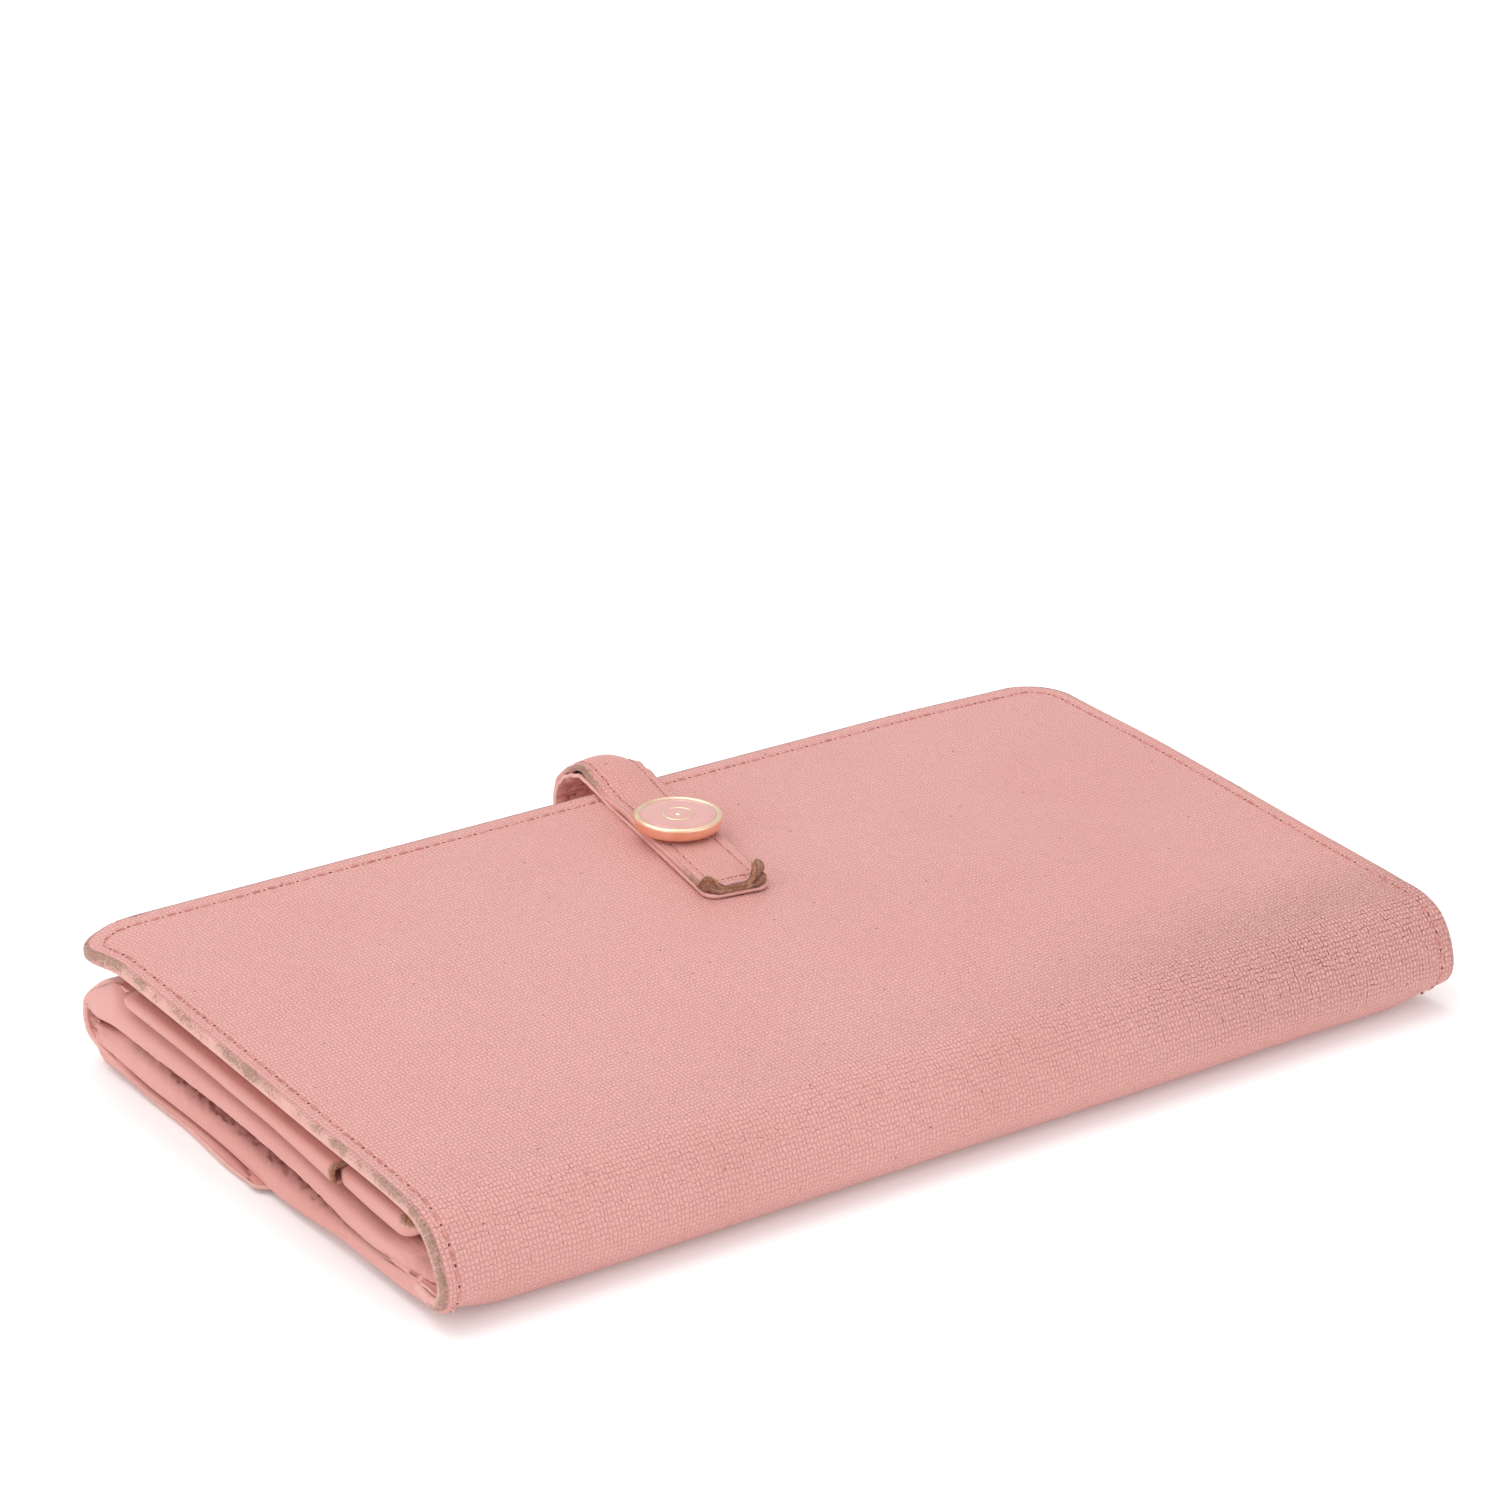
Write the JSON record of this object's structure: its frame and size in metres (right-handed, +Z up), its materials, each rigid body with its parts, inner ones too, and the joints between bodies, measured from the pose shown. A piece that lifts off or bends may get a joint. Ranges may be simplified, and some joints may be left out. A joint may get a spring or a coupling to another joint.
{
  "type": "long bifold wallet",
  "caption": "Long bifold wallet of grained leather, with a button strap snapped over its opening edge, inner card slots and a flapped bellows coin pocket at the back.",
  "frame": {"origin": "middle of the footprint, the strap's loop included, on the surface that the closed wallet lies on", "axes": "+X along the wallet, +Y from the spine to the opening edge, +Z up from the coin flap to the cover"},
  "size_m": [0.185, 0.1178, 0.0249],
  "materials": {
    "grained_leather": "fine boarded grain, semi-matte, worn at the edges",
    "smooth_leather": "smooth, semi-matte",
    "lining_leather": "thin smooth lining, creased where it bends",
    "board": "plain stiffener",
    "gold_metal": "polished rose-gold plating",
    "snap_metal": "plated, satin",
    "enamel": "glossy enamel fill"
  },
  "bodies": {
    "root": {"back_leather": "grained_leather", "coin_pocket_lining": "lining_leather", "coin_pocket_wall": "smooth_leather", "edge_wall": "grained_leather", "coin_gusset_left": "smooth_leather", "coin_gusset_right": "smooth_leather", "coin_snap_stud": "snap_metal", "bill_divider": "lining_leather", "inner_pocket_back": "smooth_leather", "inner_pocket_face": "smooth_leather", "inner_pocket_end_left": "smooth_leather", "inner_pocket_end_right": "smooth_leather", "inner_card_slot_left_1": "smooth_leather", "inner_card_slot_left_2": "smooth_leather", "inner_card_slot_left_3": "smooth_leather", "inner_card_slot_right_1": "smooth_leather", "inner_card_slot_right_2": "smooth_leather", "inner_card_slot_right_3": "smooth_leather", "strap_loop": "grained_leather", "strap_end": "lining_leather"},
    "spine": {"spine_leather": "grained_leather", "spine_lining": "lining_leather"},
    "cover": {"cover_leather": "grained_leather", "cover_board": "board", "cover_lining": "lining_leather", "cover_card_slot_left_1": "smooth_leather", "cover_card_slot_left_2": "smooth_leather", "cover_card_slot_left_3": "smooth_leather", "cover_card_slot_left_4": "smooth_leather", "cover_card_slot_right_1": "smooth_leather", "cover_card_slot_right_2": "smooth_leather", "cover_card_slot_right_3": "smooth_leather", "cover_card_slot_right_4": "smooth_leather", "closure_stud": "snap_metal"},
    "strap": {"strap_leather": "grained_leather", "strap_lining": "lining_leather", "closure_socket": "snap_metal", "button_cap": "gold_metal", "button_enamel": "enamel", "button_motif": "gold_metal"},
    "coin_flap": {"flap_leather": "grained_leather", "flap_lining": "lining_leather", "coin_snap_socket": "snap_metal"}
  },
  "joints": [
    {"name": "spine_fold", "type": "hinge", "parent": "root", "child": "spine", "pos_m": [0, -0.0576, 0.0024], "axis": [1, 0, 0], "range_deg": [0, 87]},
    {"name": "cover_fold", "type": "hinge", "parent": "spine", "child": "cover", "pos_m": [0, -0.0566, 0.0122], "axis": [1, 0, 0], "range_deg": [0, 87]},
    {"name": "strap_lift", "type": "hinge", "parent": "root", "child": "strap", "pos_m": [0.0065, 0.0466, 0.0147], "axis": [-0.9877, 0.1564, 0], "range_deg": [0, 120], "deforming": ["strap_loop"]},
    {"name": "coin_flap_open", "type": "hinge", "parent": "root", "child": "coin_flap", "pos_m": [0, 0.0426, 0.0042], "axis": [1, 0, 0], "range_deg": [0, 172]}
  ],
  "couplings": [
    {"joint": "spine_fold", "follows": "cover_fold", "ratio": 1}
  ]
}
